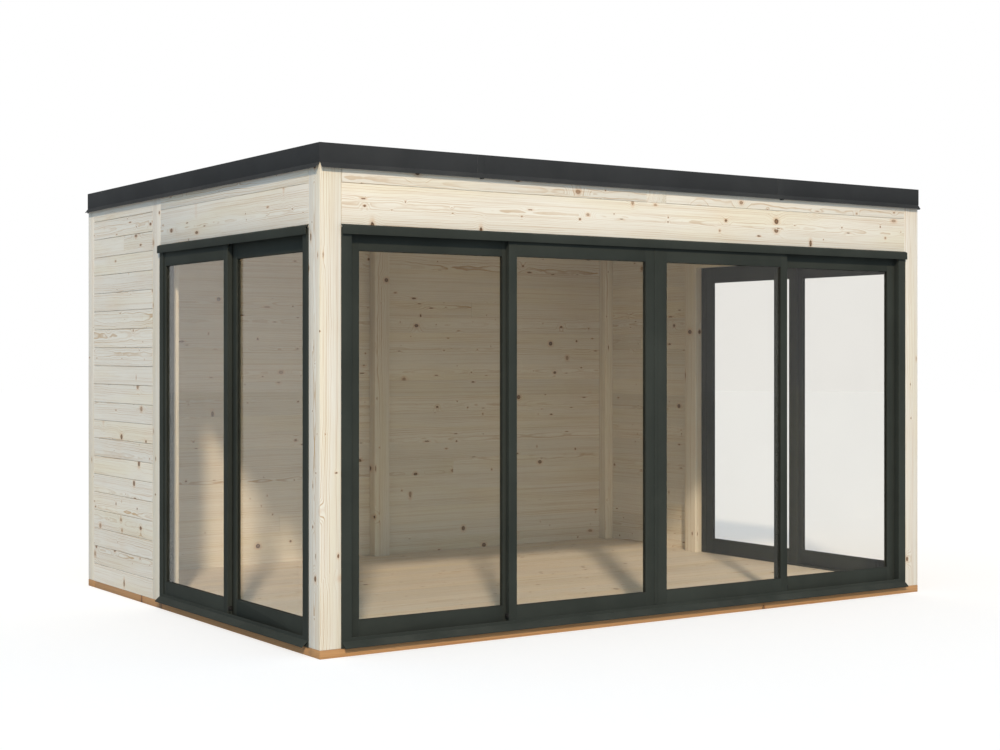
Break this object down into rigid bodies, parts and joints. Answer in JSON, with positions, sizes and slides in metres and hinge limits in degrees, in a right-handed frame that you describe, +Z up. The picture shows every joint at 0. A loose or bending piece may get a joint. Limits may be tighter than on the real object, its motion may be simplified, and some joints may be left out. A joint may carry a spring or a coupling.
{
  "type": "garden office pod",
  "caption": "Flat-roofed timber garden room of horizontal boards between square posts, glazed at the front and front sides with dark sliding doors.",
  "frame": {"origin": "on the ground, on the underside of the middle floor joist, at the centre of the walls", "axes": "+X along the glazed front, to the right as seen from outside; +Y from the front to the back; +Z up"},
  "size_m": [4.27, 3.225, 2.512],
  "materials": {
    "wall_wood": "planed pale spruce, untreated, with small knots",
    "floor_wood": "planed pale spruce floor boards",
    "treated_wood": "brown impregnated softwood",
    "frame_metal": "matt green-grey anthracite powder coat",
    "edge_metal": "matt anthracite coated sheet",
    "membrane": "matt black roof membrane",
    "glass": "clear float glass"
  },
  "bodies": {
    "root": {"base_bearers_long": "treated_wood", "base_bearers_short": "treated_wood", "floor_joists": "treated_wood", "floor_deck": "floor_wood", "post_front_left": "wall_wood", "post_front_right": "wall_wood", "post_back_left": "wall_wood", "post_back_right": "wall_wood", "post_side_left": "wall_wood", "post_side_right": "wall_wood", "post_back_middle": "wall_wood", "wall_left": "wall_wood", "wall_right": "wall_wood", "wall_back": "wall_wood", "header_front": "wall_wood", "header_left": "wall_wood", "header_right": "wall_wood", "top_boards_long": "wall_wood", "top_boards_short": "wall_wood", "roof_beam": "wall_wood", "roof_joists": "wall_wood", "roof_firrings": "wall_wood", "roof_deck": "wall_wood", "roof_membrane": "membrane", "roof_kerbs_long": "wall_wood", "roof_kerbs_short": "wall_wood", "roof_edge_front": "edge_metal", "roof_edge_back": "edge_metal", "roof_edge_left": "edge_metal", "roof_edge_right": "edge_metal", "door_front_frame": "frame_metal", "door_left_frame": "frame_metal", "door_right_frame": "frame_metal", "door_drip_caps": "frame_metal", "door_front_left_fixed": "frame_metal", "door_front_left_fixed_glass": "glass", "door_front_right_fixed": "frame_metal", "door_front_right_fixed_glass": "glass", "door_left_fixed": "frame_metal", "door_left_fixed_glass": "glass", "door_right_fixed": "frame_metal", "door_right_fixed_glass": "glass"},
    "slider_front_left": {"door_front_left_slider": "frame_metal", "door_front_left_slider_glass": "glass"},
    "slider_front_right": {"door_front_right_slider": "frame_metal", "door_front_right_slider_glass": "glass"},
    "slider_left": {"door_left_slider": "frame_metal", "door_left_slider_glass": "glass"},
    "slider_right": {"door_right_slider": "frame_metal", "door_right_slider_glass": "glass"}
  },
  "joints": [
    {"name": "front_left_slide", "type": "slide", "parent": "root", "child": "slider_front_left", "axis": [-1, 0, 0], "range_m": [0, 0.915]},
    {"name": "front_right_slide", "type": "slide", "parent": "root", "child": "slider_front_right", "axis": [1, 0, 0], "range_m": [0, 0.915]},
    {"name": "left_slide", "type": "slide", "parent": "root", "child": "slider_left", "axis": [0, -1, 0], "range_m": [0, 0.86]},
    {"name": "right_slide", "type": "slide", "parent": "root", "child": "slider_right", "axis": [0, 1, 0], "range_m": [0, 0.86]}
  ]
}
